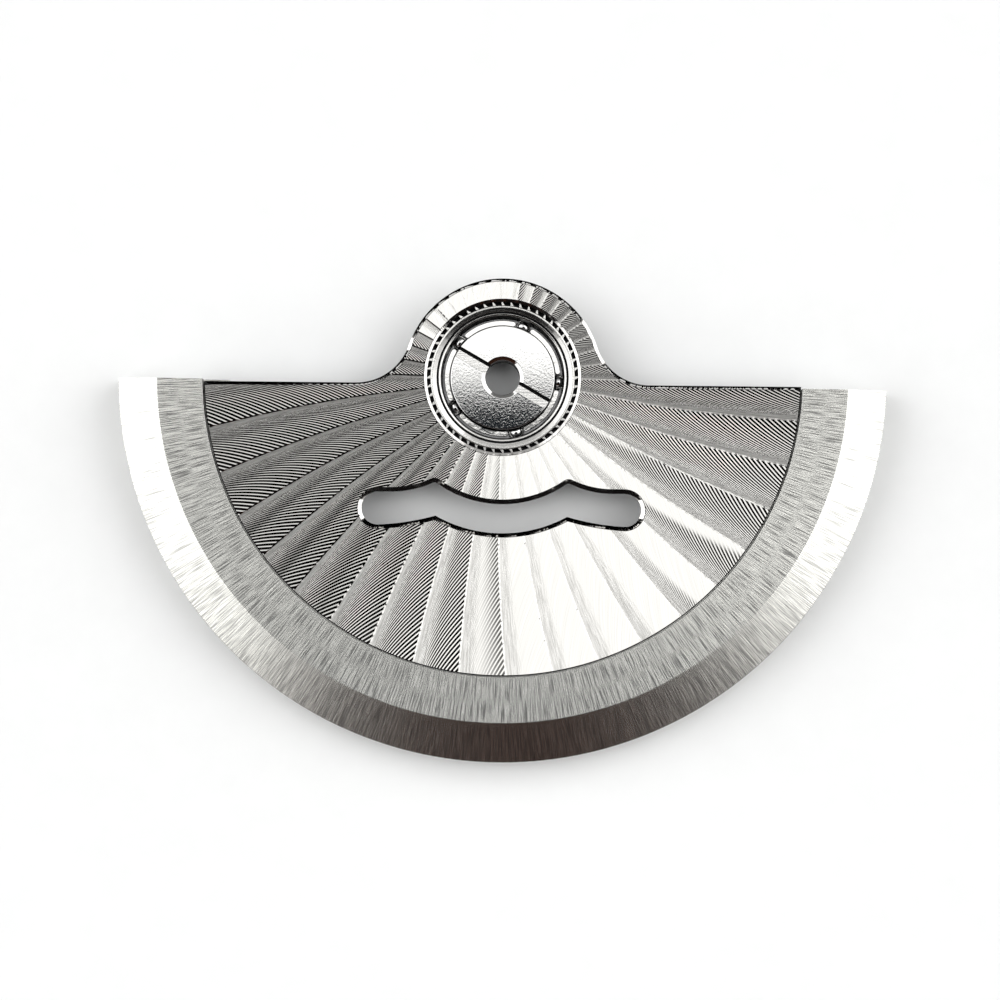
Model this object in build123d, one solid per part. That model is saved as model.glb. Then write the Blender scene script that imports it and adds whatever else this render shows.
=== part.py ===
from build123d import *
import math
import os

# Automatic winding rotor of a wristwatch, in millimetres.
# The origin is on the bearing's axis, in the face that seats on the movement's bridge.
# +Z points up to the decorated side, and -Y points to the middle of the heavy rim.

# Heavy rim
rim_diameter = 26.6
rim_flat_width = 1.57
rim_bevel_width = 1.37
rim_bevel_drop = 0.50
rim_height = 1.70
rim_edge_chamfer = 0.08
rim_above_plate = 0.08
rim_ledge_width = 0.90
rim_ledge_height = 0.50
rim_joint_gap = 0.03
rim_skew_degrees = 0.4

# Rotor plate
plate_top = 1.25
plate_thickness = 0.47
edge_setback = 0.225
hub_radius = 3.43
hub_fillet_radius = 1.93
plate_chamfer = 0.12
seat_lip_width = 0.13
seat_lip_depth = 0.10

# Sunburst cut into the plate's top
sector_count = 40
sector_phase_degrees = 2.3
sector_offset = 0.13
sector_depth = 0.02

# Window through the plate, as distances from the axis
window_top = 4.38
window_bottom = 5.39
window_peak_x = 2.30
window_peak_y = 3.63
window_peak_radius = 0.15
window_kink_x = 2.27
window_kink_y = 4.80
window_end_x = 4.255
window_end_y = 4.557
window_end_radius = 0.573
window_shoulder_length = 0.305
window_shoulder_radius = 3.50
window_lower_radius = 9.0
window_chamfer = 0.15

# Balls, which run in grooves with walls at 45 degrees
ball_count = 5
ball_diameter = 0.50
ball_plane_height = 0.58
ball_clearance = 0.012
first_ball_degrees = -3.4

# Inner race, in two halves: the core and the slotted cone that screws into it
bore_diameter = 1.20
bore_chamfer = 0.12
seat_diameter = 2.60
seat_height = 0.10
cone_diameter = 3.60
cone_below_plate = 0.15
cone_edge_chamfer = 0.04
cone_contact_margin = 0.047
core_thread_diameter = 2.20
core_floor = 0.16
slot_width = 0.40
slot_depth = 0.28
slot_degrees = -30.0

# Ball cage
cage_width = 0.17
cage_running_clearance = 0.04
cage_ring_height = 0.13
cage_ring_gap = 0.06
cage_post_above_balls = 0.06
cage_pocket_gap = 0.03

# Outer race, from its groove out to its shoulder
race_contact_margin = 0.02
race_wall = 0.16
race_foot_height = 0.14
race_below_plate = 0.06
race_edge_chamfer = 0.03
race_outer_ring_width = 0.15
race_groove_bevel = 0.025
race_groove_width = 0.06
race_groove_depth = 0.17
race_inner_ring_width = 0.05
race_inner_ring_drop = 0.07
race_shoulder_width = 0.33
race_shoulder_height = 0.16

# Serrated collar of the outer race, pressed into the plate
serration_count = 52
serration_step = 0.04
serration_depth = 0.12
serration_below_plate = 0.10

# Rotor gear under the plate
gear_teeth = 45
gear_rim_width = 0.24
gear_tooth_depth = 0.28
gear_height = 0.38

# Rivets from the ledge into the plate
rivet_count = 4
rivet_radius = 0.22
rivet_head_radius = 0.38
rivet_head_height = 0.14
rivet_head_chamfer = 0.04
rivet_hole_depth = 0.30
rivet_first_degrees = -22.0
rivet_last_degrees = -158.0

# Shares of a tooth's pitch, from its centre line to its corners
serration_root_share = 0.42
serration_tip_share = 0.12
gear_root_share = 0.36
gear_tip_share = 0.14

# How far a cut runs past what it cuts
overrun = 1.0

# Radii and heights of the plate and the rim
rim_radius = rim_diameter / 2
bevel_radius = rim_radius - rim_bevel_width
rim_inner_radius = bevel_radius - rim_flat_width
plate_radius = rim_inner_radius - rim_joint_gap
ledge_radius = rim_inner_radius - rim_ledge_width
rim_top = plate_top + rim_above_plate
rim_bottom = rim_top - rim_height
plate_bottom = plate_top - plate_thickness
ledge_bottom = plate_bottom - rim_ledge_height

# Radii and heights of the balls and the inner race
bore_radius = bore_diameter / 2
cone_radius = cone_diameter / 2
cone_top = plate_top - cone_below_plate
thread_radius = core_thread_diameter / 2
ball_radius = ball_diameter / 2
contact_reach = ball_radius / math.sqrt(2)
pitch_radius = cone_radius - cone_contact_margin + contact_reach
groove_reach = (ball_radius + ball_clearance) * math.sqrt(2)
inner_vertex = pitch_radius - groove_reach
outer_vertex = pitch_radius + groove_reach
cone_rise = cone_radius - inner_vertex

# Radii and heights of the cage
cage_inner_radius = cone_radius + cage_running_clearance
cage_outer_radius = cage_inner_radius + cage_width
cage_middle_radius = cage_inner_radius + cage_width / 2
cage_ring_top = ball_plane_height - ball_radius - cage_ring_gap
cage_post_top = ball_plane_height + cage_post_above_balls

# Radii and heights of the outer race, its collar and the gear
race_lip_radius = pitch_radius + contact_reach - race_contact_margin
lip_rise = outer_vertex - race_lip_radius
gear_bore_radius = outer_vertex + race_wall
gear_root_radius = gear_bore_radius + gear_rim_width
gear_tip_radius = gear_root_radius + gear_tooth_depth
serration_root_radius = gear_bore_radius + serration_step
serration_tip_radius = serration_root_radius + serration_depth
serration_top = plate_top - serration_below_plate
shoulder_radius = serration_tip_radius + race_shoulder_width
shoulder_bottom = plate_bottom - race_shoulder_height
gear_bottom = shoulder_bottom - gear_height
race_bottom = gear_bottom - race_foot_height
race_top = plate_top - race_below_plate
inner_ring_top = race_top - race_inner_ring_drop
groove_floor = race_top - race_groove_depth
outer_ring_outer = serration_root_radius - race_edge_chamfer
outer_ring_inner = outer_ring_outer - race_outer_ring_width
groove_outer = outer_ring_inner - race_groove_bevel
groove_inner = groove_outer - race_groove_width
inner_ring_outer = groove_inner - race_groove_bevel
inner_ring_inner = inner_ring_outer - race_inner_ring_width


def polar(radius, degrees):
    """A point in the XY plane from its radius and its angle."""
    angle = math.radians(degrees)
    return (radius * math.cos(angle), radius * math.sin(angle))


def turned(points):
    """A solid of revolution about Z from (radius, height) corners."""
    corners = [(radius, 0, height) for radius, height in points]
    outline = Polyline(*corners, close=True)
    return revolve(make_face(outline), Axis.Z, 360)


def upright(radius, bottom, top, at=(0, 0)):
    """A cylinder along Z from one height to another."""
    drum = Cylinder(radius, top - bottom, align=(Align.CENTER, Align.CENTER, Align.MIN))
    return Pos(at[0], at[1], bottom) * drum


def toothed(count, root_radius, tip_radius, root_share, tip_share, bottom, top):
    """A prism with straight-sided teeth, each from its root corners to its tip corners."""
    pitch = 360 / count
    corners = []
    for index in range(count):
        middle = index * pitch
        corners.append(polar(root_radius, middle - root_share * pitch))
        corners.append(polar(tip_radius, middle - tip_share * pitch))
        corners.append(polar(tip_radius, middle + tip_share * pitch))
        corners.append(polar(root_radius, middle + root_share * pitch))
    outline = Polyline(*corners, close=True)
    return Pos(0, 0, bottom) * extrude(make_face(outline), amount=top - bottom)


def plate_outline():
    """Half disc with a round hub, joined to its straight edge by two hollow fillets."""
    edge_x = math.sqrt(plate_radius**2 - edge_setback**2)
    fillet_y = hub_fillet_radius - edge_setback
    fillet_x = math.sqrt((hub_radius + hub_fillet_radius) ** 2 - fillet_y**2)
    hub_share = hub_radius / (hub_radius + hub_fillet_radius)
    hub_x = fillet_x * hub_share
    hub_y = fillet_y * hub_share
    right_edge = Line((edge_x, -edge_setback), (fillet_x, -edge_setback))
    right_fillet = TangentArc((fillet_x, -edge_setback), (hub_x, hub_y), tangent=(-1, 0))
    hub = ThreePointArc((hub_x, hub_y), (0, hub_radius), (-hub_x, hub_y))
    left_fillet = mirror(right_fillet, about=Plane.YZ)
    left_edge = mirror(right_edge, about=Plane.YZ)
    rim_arc = ThreePointArc((-edge_x, -edge_setback), (0, -plate_radius), (edge_x, -edge_setback))
    return make_face([right_edge, right_fillet, hub, left_fillet, left_edge, rim_arc])


def arc_middle(start, end, radius, side):
    """Middle point of the arc of that radius between two points, bulging to one side."""
    dx = end[0] - start[0]
    dy = end[1] - start[1]
    half = math.hypot(dx, dy) / 2
    sag = radius - math.sqrt(radius**2 - half**2)
    middle_x = (start[0] + end[0]) / 2 - side * sag * dy / (2 * half)
    middle_y = (start[1] + end[1]) / 2 + side * sag * dx / (2 * half)
    return (middle_x, middle_y)


def window_wing():
    """The window's right wing: from the lower kink round its end to the upper peak."""
    kink = (window_kink_x, -window_kink_y)
    end_bottom = (window_end_x, -window_end_y - window_end_radius)
    end_tip = (window_end_x + window_end_radius, -window_end_y)
    end_top = (window_end_x, -window_end_y + window_end_radius)
    shoulder = (window_end_x - window_shoulder_length, -window_end_y + window_end_radius)
    peak = (window_peak_x, -window_peak_y)
    return [
        ThreePointArc(kink, arc_middle(kink, end_bottom, window_lower_radius, -1), end_bottom),
        ThreePointArc(end_bottom, end_tip, end_top),
        Line(end_top, shoulder),
        ThreePointArc(shoulder, arc_middle(shoulder, peak, window_shoulder_radius, 1), peak),
    ]


def window_face():
    """The window's outline: two wings joined by a bowl above and a bowl below."""
    kink = (window_kink_x, -window_kink_y)
    peak = (window_peak_x, -window_peak_y)
    right_wing = window_wing()
    left_wing = [mirror(edge, about=Plane.YZ) for edge in right_wing]
    bowls = [
        ThreePointArc((-kink[0], kink[1]), (0, -window_bottom), kink),
        ThreePointArc(peak, (0, -window_top), (-peak[0], peak[1])),
    ]
    face = make_face(right_wing + left_wing + bowls)
    corners = [face.vertices().sort_by_distance(Vector(side * peak[0], peak[1]))[0] for side in (-1, 1)]
    return fillet(corners, window_peak_radius)


def window_prism():
    """The window's opening, run past both faces of the plate."""
    bottom = plate_bottom - overrun
    return Pos(0, 0, bottom) * extrude(window_face(), amount=plate_thickness + 2 * overrun)


def rivet_places():
    """Centres of the rivets, evenly spaced along the ledge."""
    step = (rivet_last_degrees - rivet_first_degrees) / (rivet_count - 1)
    radius = (ledge_radius + plate_radius) / 2
    return [polar(radius, rivet_first_degrees + index * step) for index in range(rivet_count)]


def boundary_point(index, along):
    """A point on one sector boundary, a line that passes the axis at the sectors' offset."""
    degrees = sector_phase_degrees + index * 360 / sector_count
    foot = polar(sector_offset, degrees - 90)
    run = polar(along, degrees)
    return (foot[0] + run[0], foot[1] + run[1])


def sector_apex(index):
    """Where the boundaries before and after one sector cross, beside the axis."""
    pitch = 360 / sector_count
    middle = sector_phase_degrees + (index + 1 / 2) * pitch
    return polar(sector_offset / math.cos(math.radians(pitch / 2)), middle - 90)


def sector_wedge(index):
    """The wedge that cuts one sector: deepest at its first boundary, nothing at its second."""
    reach = plate_radius + overrun
    lid = plate_top + overrun
    floor = plate_top - sector_depth * reach / plate_radius
    apex = sector_apex(index)
    low = boundary_point(index, reach)
    high = boundary_point(index + 1, reach)
    rings = [
        [(*apex, plate_top), (*low, floor), (*high, plate_top)],
        [(*apex, lid), (*high, lid), (*low, lid)],
        [(*apex, plate_top), (*apex, lid), (*low, lid), (*low, floor)],
        [(*apex, plate_top), (*high, plate_top), (*high, lid), (*apex, lid)],
        [(*low, floor), (*low, lid), (*high, lid), (*high, plate_top)],
    ]
    return Solid(Shell([Face(Wire(Polyline(*ring, close=True).edges())) for ring in rings]))


def sunburst():
    """The wedges of every sector that the plate reaches."""
    return [sector_wedge(index) for index in range(sector_count)]


def rotor_plate():
    """Thin plate that carries the bearing at its hub and the rim along its edge."""
    plate = Pos(0, 0, plate_bottom) * extrude(plate_outline(), amount=plate_thickness)
    top_edges = plate.edges().filter_by_position(Axis.Z, plate_top, plate_top)
    free_edges = [edge for edge in top_edges if edge.position_at(0.5).Y > -plate_radius / 2]
    plate = chamfer(free_edges, plate_chamfer)
    plate -= window_prism()
    top_edges = plate.edges().filter_by_position(Axis.Z, plate_top, plate_top)
    window_edges = [
        edge for edge in top_edges if -plate_radius / 2 < edge.position_at(0.5).Y < -window_peak_y / 2
    ]
    plate = chamfer(window_edges, window_chamfer)
    plate -= upright(serration_tip_radius, plate_bottom - overrun, plate_top + overrun)
    plate -= seat_lip()
    for place in rivet_places():
        plate -= upright(rivet_radius, plate_bottom - overrun, plate_bottom + rivet_hole_depth, place)
    for wedge in sunburst():
        plate -= wedge
    return plate


def seat_lip():
    """The polished bevel around the bearing's seat, as the cone that cuts it."""
    rise = seat_lip_depth * overrun / seat_lip_width
    return turned(
        [
            (0, plate_top - seat_lip_depth),
            (serration_tip_radius, plate_top - seat_lip_depth),
            (serration_tip_radius + seat_lip_width + overrun, plate_top + rise),
            (0, plate_top + rise),
        ]
    )


def heavy_rim():
    """Thick weighted arc: a flat band, a wide bevel and a ledge that carries the plate."""
    ring = turned(
        [
            (ledge_radius, ledge_bottom),
            (ledge_radius, plate_bottom),
            (rim_inner_radius, plate_bottom),
            (rim_inner_radius, rim_top),
            (bevel_radius, rim_top),
            (rim_radius, rim_top - rim_bevel_drop),
            (rim_radius, rim_bottom + rim_edge_chamfer),
            (rim_radius - rim_edge_chamfer, rim_bottom),
            (rim_inner_radius, rim_bottom),
            (rim_inner_radius, ledge_bottom),
        ]
    )
    span = 2 * (rim_radius + overrun)
    half = Box(span, span / 2, span, align=(Align.CENTER, Align.MAX, Align.CENTER))
    ring &= Rot(0, 0, -rim_skew_degrees) * Pos(0, -edge_setback, 0) * half
    for place in rivet_places():
        ring -= upright(rivet_radius, ledge_bottom - overrun, plate_bottom + overrun, place)
    return ring


def rim_rivet(place):
    """A rivet: its head under the ledge, its shank up into the plate's blind hole."""
    head_bottom = ledge_bottom - rivet_head_height
    shape = turned(
        [
            (0, head_bottom),
            (rivet_head_radius - rivet_head_chamfer, head_bottom),
            (rivet_head_radius, head_bottom + rivet_head_chamfer),
            (rivet_head_radius, ledge_bottom),
            (rivet_radius, ledge_bottom),
            (rivet_radius, plate_bottom + rivet_hole_depth),
            (0, plate_bottom + rivet_hole_depth),
        ]
    )
    return Pos(*place, 0) * shape


def bearing_outer_race():
    """Grooved ring pressed into the plate from below, with a stepped top and a shoulder."""
    ring = turned(
        [
            (race_lip_radius, race_bottom),
            (race_lip_radius, ball_plane_height - lip_rise),
            (outer_vertex, ball_plane_height),
            (race_lip_radius, ball_plane_height + lip_rise),
            (inner_ring_inner, inner_ring_top),
            (inner_ring_outer, inner_ring_top),
            (groove_inner, groove_floor),
            (groove_outer, groove_floor),
            (outer_ring_inner, race_top),
            (outer_ring_outer, race_top),
            (serration_root_radius, race_top - race_edge_chamfer),
            (serration_root_radius, plate_bottom),
            (shoulder_radius, plate_bottom),
            (shoulder_radius, shoulder_bottom),
            (gear_bore_radius, shoulder_bottom),
            (gear_bore_radius, race_bottom),
        ]
    )
    collar = toothed(
        serration_count,
        serration_root_radius,
        serration_tip_radius,
        serration_root_share,
        serration_tip_share,
        plate_bottom,
        serration_top,
    )
    return ring + (collar - upright(gear_bore_radius, plate_bottom, serration_top))


def rotor_gear():
    """Toothed ring pressed on the outer race, which drives the winding train."""
    wheel = toothed(
        gear_teeth,
        gear_root_radius,
        gear_tip_radius,
        gear_root_share,
        gear_tip_share,
        gear_bottom,
        shoulder_bottom,
    )
    return wheel - upright(gear_bore_radius, gear_bottom - overrun, shoulder_bottom + overrun)


def bearing_core():
    """Lower half of the inner race: the seat, the lower cone and the thread's socket."""
    return turned(
        [
            (bore_radius, 0),
            (seat_diameter / 2, 0),
            (seat_diameter / 2, seat_height),
            (cone_radius, seat_height),
            (cone_radius, ball_plane_height - cone_rise),
            (inner_vertex, ball_plane_height),
            (thread_radius, ball_plane_height),
            (thread_radius, core_floor),
            (bore_radius, core_floor),
        ]
    )


def slotted_cone():
    """Upper half of the inner race: screws into the core, with a slot across its face."""
    cone = turned(
        [
            (bore_radius, core_floor),
            (thread_radius, core_floor),
            (thread_radius, ball_plane_height),
            (inner_vertex, ball_plane_height),
            (cone_radius, ball_plane_height + cone_rise),
            (cone_radius, cone_top - cone_edge_chamfer),
            (cone_radius - cone_edge_chamfer, cone_top),
            (bore_radius + bore_chamfer, cone_top),
            (bore_radius, cone_top - bore_chamfer),
        ]
    )
    slot = Box(
        cone_diameter + overrun,
        slot_width,
        slot_depth + overrun,
        align=(Align.CENTER, Align.CENTER, Align.MIN),
    )
    return cone - Rot(0, 0, slot_degrees) * Pos(0, 0, cone_top - slot_depth) * slot


def ball_degrees(index):
    """Angle of one ball around the bearing's axis."""
    return first_ball_degrees + index * 360 / ball_count


def ball(index):
    """One ball of the bearing, on the pitch circle."""
    return Pos(*polar(pitch_radius, ball_degrees(index)), ball_plane_height) * Sphere(ball_radius)


def cage_post(index):
    """Round-ended post of the cage, between one ball and the next."""
    reach = ball_radius + cage_pocket_gap + cage_width / 2
    turn = 2 * math.degrees(math.asin(reach / 2 / cage_middle_radius))
    start = ball_degrees(index) + turn
    end = ball_degrees(index + 1) - turn
    path = ThreePointArc(
        polar(cage_middle_radius, start),
        polar(cage_middle_radius, (start + end) / 2),
        polar(cage_middle_radius, end),
    )
    outline = SlotArc(path, cage_width)
    return Pos(0, 0, cage_ring_top) * extrude(outline, amount=cage_post_top - cage_ring_top)


def ball_cage():
    """A flat ring under the balls with one post between each pair of them."""
    ring_bottom = cage_ring_top - cage_ring_height
    cage = upright(cage_outer_radius, ring_bottom, cage_ring_top)
    cage -= upright(cage_inner_radius, ring_bottom - overrun, cage_ring_top + overrun)
    for index in range(ball_count):
        cage += cage_post(index)
    return cage


pieces = {
    "rotor_plate": rotor_plate(),
    "heavy_rim": heavy_rim(),
    "bearing_outer_race": bearing_outer_race(),
    "rotor_gear": rotor_gear(),
    "ball_cage": ball_cage(),
    "bearing_core": bearing_core(),
    "slotted_cone": slotted_cone(),
}
for number, place in enumerate(rivet_places(), start=1):
    pieces[f"rim_rivet_{number}"] = rim_rivet(place)
for index in range(ball_count):
    pieces[f"ball_{index + 1}"] = ball(index)

os.makedirs("parts", exist_ok=True)
for name, shape in pieces.items():
    export_step(shape, f"parts/{name}.step")
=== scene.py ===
import bmesh
import bpy
import math
import numpy as np
from mathutils import Matrix, Vector
from mathutils.geometry import delaunay_2d_cdt
from mathutils.kdtree import KDTree


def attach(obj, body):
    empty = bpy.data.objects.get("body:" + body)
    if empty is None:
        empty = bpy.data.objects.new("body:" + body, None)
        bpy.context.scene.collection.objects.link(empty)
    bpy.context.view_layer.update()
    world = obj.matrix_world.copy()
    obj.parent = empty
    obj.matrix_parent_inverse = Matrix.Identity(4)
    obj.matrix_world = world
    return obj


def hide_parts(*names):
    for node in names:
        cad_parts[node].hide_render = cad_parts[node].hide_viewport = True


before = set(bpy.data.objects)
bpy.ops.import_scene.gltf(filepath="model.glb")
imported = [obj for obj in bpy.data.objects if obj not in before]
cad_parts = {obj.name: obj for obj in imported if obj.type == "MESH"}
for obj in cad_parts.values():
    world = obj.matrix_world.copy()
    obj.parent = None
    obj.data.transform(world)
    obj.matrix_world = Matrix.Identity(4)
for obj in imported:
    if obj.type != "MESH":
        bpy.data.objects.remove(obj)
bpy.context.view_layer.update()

# Sizes are in millimetres, in the frame's own axes, and MM turns them into metres.
MM = 0.001

# Plate
plate_top = 1.25
plate_bottom = 0.78
plate_radius = 10.315
edge_setback = 0.225
hub_radius = 3.43
hub_fillet_radius = 1.93
plate_chamfer = 0.15
plate_chamfer_drop = 0.12
plate_edge_break = 0.045
joint_chamfer = 0.06
crest_share = 0.32
lip_share = 0.2
seat_radius = 2.62
seat_lip_width = 0.13
seat_lip_drop = 0.045
outline_spacing = 0.035
edge_tolerance = 0.002
weld_distance = 1e-5

# The plate's surfaces, in the order of its materials; the walls, the underside and the last surface, along
# the edges' lips, are darkened as painted shade
engraved, bevelled, walled, under, painted_edge_shade = range(5)

# Window through the plate
window_top = 4.38
window_bottom = 5.39
window_peak = (2.30, -3.63)
window_peak_radius = 0.15
window_kink = (2.27, -4.80)
window_end = (4.255, -4.557)
window_end_radius = 0.573
window_shoulder_length = 0.305
window_shoulder_radius = 3.50
window_lower_radius = 9.0
window_chamfer = 0.19
window_chamfer_drop = 0.143

# Sunburst: sectors of curved grooves, each groove leaving its sector's counter-clockwise side
sector_count = 40
sector_phase_degrees = 2.3
sector_lean = 3.6
sector_lean_fall = 0.48
sector_lean_radius = 5.4
sector_lean_ease = 0.6
sector_fall = 0.028
sector_fall_at_axis = 0.6
sector_wall_width = 0.055
sector_seed = 1000
groove_pitch_at_axis = 0.0984
groove_pitch_growth = 0.0109
groove_slope_start = 14.0
groove_slope_end = 9.5
groove_blur_start = 0.5
groove_blur_end = 0.95
groove_turn_start = 38.0
groove_valley_sway = 0.16
groove_valley_bearing = 30.0
groove_turn_fall = 20.0
groove_turn_bend = 14.0
groove_turn_least = 3.5
groove_innermost = 1.28
groove_jitter = 0.012
groove_rows = 2
groove_steps = 18
groove_step_bend = 0.9

# Rim
rim_radius = 13.297
rim_bevel_radius = 11.93
rim_inner_radius = 10.36
rim_ledge_radius = 9.46
rim_top = 1.33
rim_bottom = -0.37
rim_bevel_drop = 0.50
rim_ledge_bottom = 0.28
rim_edge_chamfer = 0.08
rim_skew_degrees = 0.4
rim_edge_round = 0.02
rim_segments = 720

# Bearing
ball_radius = 0.25
ball_height = 0.58
ball_count = 5
first_ball_degrees = -3.4
pitch_radius = 1.9298
bore_radius = 0.60
socket_radius = 1.10
socket_floor = 0.16
inner_vertex_radius = 1.5593
foot_radius = 1.30
foot_top = 0.10
cone_radius = 1.80
cone_top = 1.10
cone_dome = 0.016
slot_width = 0.40
slot_depth = 0.28
slot_upper_draft = 0.11
slot_lower_draft = 0.03
slot_degrees = -30.0
cage_inner_radius = 1.84
cage_outer_radius = 2.01
cage_ring_bottom = 0.14
cage_ring_top = 0.27
cage_post_top = 0.64
cage_pocket_gap = 0.03
cage_flange_radius = 2.073
cage_flange_bottom = 0.44
cage_flange_top = 0.55
race_bottom = 0.10
race_lip_radius = 2.0866
race_vertex_radius = 2.3003
race_shade_radius = 2.14
race_groove_radii = (2.215, 2.284)
race_groove_heights = (0.9, 1.15)
gear_bore_radius = 2.4603
serration_root_radius = 2.5003
serration_tip_radius = 2.6203
serration_top = 1.15
serration_count = 52
serration_lean = 0.15
shoulder_radius = 2.9503
shoulder_bottom = 0.62
gear_bottom = 0.24
gear_root_radius = 2.7003
gear_tip_radius = 2.9803
gear_teeth = 45
lathe_segments = 240

# Eased corners, and how straight a face has to look along an axis to count as facing that way
corner_share = 0.36
guard_share = 1.25
facing_share = 0.9

# Rivets
rivet_angles = (-22.0, -67.333, -112.667, -158.0)
rivet_circle_radius = 9.895
rivet_radius = 0.22
rivet_head_radius = 0.38
rivet_head_height = 0.14
rivet_dome_rise = 0.07
rivet_dome_steps = 8
rivet_segments = 48
rivet_top = 1.08

# Marks of the tools on the surfaces
stroke_width = 0.026
stroke_circle_radius = 12.0
stroke_length = 0.8
drift_width = 0.05
tool_line_spacing = 0.03

# Camera and stage
camera_place = (-0.22, -9.64, 130.0)
camera_aim = (-0.047, -4.245, 1.25)
camera_roll_degrees = 0.58
camera_view_degrees = 15.24
floor_size = 90.0
sky_level = 1.8
lamp_level = 2.0
wall_level = 0.9
stripe_level = 0.70
low_front_share = 0.35
front_colour = (0.038, 0.016, 0.010)
deep_colour = (0.007, 0.006, 0.006)
zenith_colour = (0.024, 0.028, 0.033)


def polar(radius, degrees):
    """A point in the XY plane from its radius and its angle."""
    angle = math.radians(degrees)
    return (radius * math.cos(angle), radius * math.sin(angle))


def ball_degrees(index):
    """The angle at which a ball stands."""
    return first_ball_degrees + index * 360 / ball_count


# Shader nodes


class Value:
    """A shader node's output, which takes part in sums and products as a number does."""

    def __init__(self, socket):
        self.socket = socket
        self.tree = socket.id_data

    def math(self, operation, *others):
        """The output of one Math node."""
        return put(self.tree, "Math", dict(enumerate((self, *others))), operation=operation)

    def __add__(self, other):
        return self.math("ADD", other)

    def __sub__(self, other):
        return self.math("SUBTRACT", other)

    def __rsub__(self, other):
        return put(self.tree, "Math", {0: other, 1: self}, operation="SUBTRACT")

    def __mul__(self, other):
        return self.math("MULTIPLY", other)

    def above_zero(self):
        """The value where it is above zero, and zero elsewhere."""
        return self.math("MAXIMUM", 0.0)

    def unsigned(self):
        """The value without its sign."""
        return self.math("ABSOLUTE")

    def ramp(self, low, high, to_low=0.0, to_high=1.0):
        """A smooth change from to_low to to_high as the value goes from low to high."""
        inputs = {"Value": self, "From Min": low, "From Max": high, "To Min": to_low, "To Max": to_high}
        return put(self.tree, "MapRange", inputs, interpolation_type="SMOOTHSTEP")

    def fade(self, low, high):
        """A smooth change from 1 to 0 as the value goes from low to high."""
        return self.ramp(low, high, 1.0, 0.0)

    def stretched(self, factors):
        """A vector whose parts are multiplied by factors."""
        return put(self.tree, "VectorMath", {0: self, 1: factors}, operation="MULTIPLY")

    def noise(self, scale, detail, roughness=0.6):
        """A noise value from 0 to 1 at a place."""
        inputs = {"Vector": self, "Scale": scale, "Detail": detail, "Roughness": roughness}
        return put(self.tree, "TexNoise", inputs)

    def between(self, first, second):
        """A colour from the first to the second, as the value goes from 0 to 1."""
        first, second = (c if isinstance(c, Value) else (*c, 1.0) for c in (first, second))
        return put(self.tree, "Mix", {0: self, 6: first, 7: second}, 2, data_type="RGBA")

    def feed(self, node, name):
        """Links the value to an input of a node."""
        self.tree.links.new(self.socket, node.inputs[name])


def put(tree, kind, inputs=None, output=0, **settings):
    """One output of a new shader node, with its settings, and its inputs linked or set."""
    node = tree.nodes.new("ShaderNode" + kind)
    for name, value in settings.items():
        setattr(node, name, value)
    for name, value in (inputs or {}).items():
        if isinstance(value, Value):
            value.feed(node, name)
        else:
            node.inputs[name].default_value = value
    return Value(node.outputs[output])


def parts(vector):
    """The three parts of a vector."""
    split = put(vector.tree, "SeparateXYZ", {0: vector})
    return [Value(output) for output in split.socket.node.outputs]


def vector_of(x, y, z=0.0):
    """A vector from its parts."""
    return put(x.tree, "CombineXYZ", {0: x, 1: y, 2: z})


def distance(x, y):
    """How far a place lies from the middle."""
    return (x * x + y * y).math("SQRT")


def metal(name, colour, roughness, anisotropic=0.0):
    """A metal material, as (material, shader, place in the object's own millimetres)."""
    material = bpy.data.materials.new(name)
    material.use_nodes = True
    tree = material.node_tree
    shader = tree.nodes["Principled BSDF"]
    shader.inputs["Metallic"].default_value = 1.0
    shader.inputs["Base Color"].default_value = (*colour, 1.0)
    shader.inputs["Roughness"].default_value = roughness
    shader.inputs["Anisotropic"].default_value = anisotropic
    place = put(tree, "TexCoord", output="Object")
    return material, shader, put(tree, "VectorMath", {0: place, "Scale": 1 / MM}, operation="SCALE")


def bump(shader, height, depth):
    """Raises the surface by height times depth in millimetres."""
    inputs = {"Height": height, "Distance": depth * MM, "Strength": 1.0}
    put(height.tree, "Bump", inputs).feed(shader, "Normal")


def roughen(shader, noise, low, high):
    """Roughness from low to high through a noise's usual range."""
    noise.ramp(0.3, 0.7, low, high).feed(shader, "Roughness")


def spread_along(shader, direction):
    """Spreads reflections along a direction of the object's own space."""
    settings = {"vector_type": "VECTOR", "convert_from": "OBJECT", "convert_to": "WORLD"}
    put(shader.id_data, "VectorTransform", {0: direction}, **settings).feed(shader, "Tangent")


def brushed_rim():
    """Fine dark strokes along the radius, of uneven length and depth, fainter below the flat top."""
    material, shader, place = metal("rim_brushed", (0.60, 0.60, 0.575), 0.23, 0.8)
    x, y, z = parts(place)
    arc = y.math("ARCTAN2", x) * stroke_circle_radius
    along = distance(x, y) * (1 / stroke_length)
    tall = (z - rim_top) * 2.0
    strokes = vector_of(arc * (1 / stroke_width), along, tall).noise(1.0, 0.8, 0.5)
    drift = vector_of(arc * (1 / drift_width), along, 7.0).noise(1.0, 1.0, 0.5)
    bump(shader, strokes, 0.003)
    middle = 0.46
    drift_share = 0.12
    depth = strokes + (drift - 0.5) * drift_share
    depth = (depth - middle) * tall.ramp(-0.04, -0.01, 0.4, 1.0) + middle
    depth.ramp(0.34, 0.58).between((0.30, 0.30, 0.29), (0.82, 0.82, 0.785)).feed(shader, "Base Color")
    spread_along(shader, vector_of(y * -1.0, x))
    return material


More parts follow.
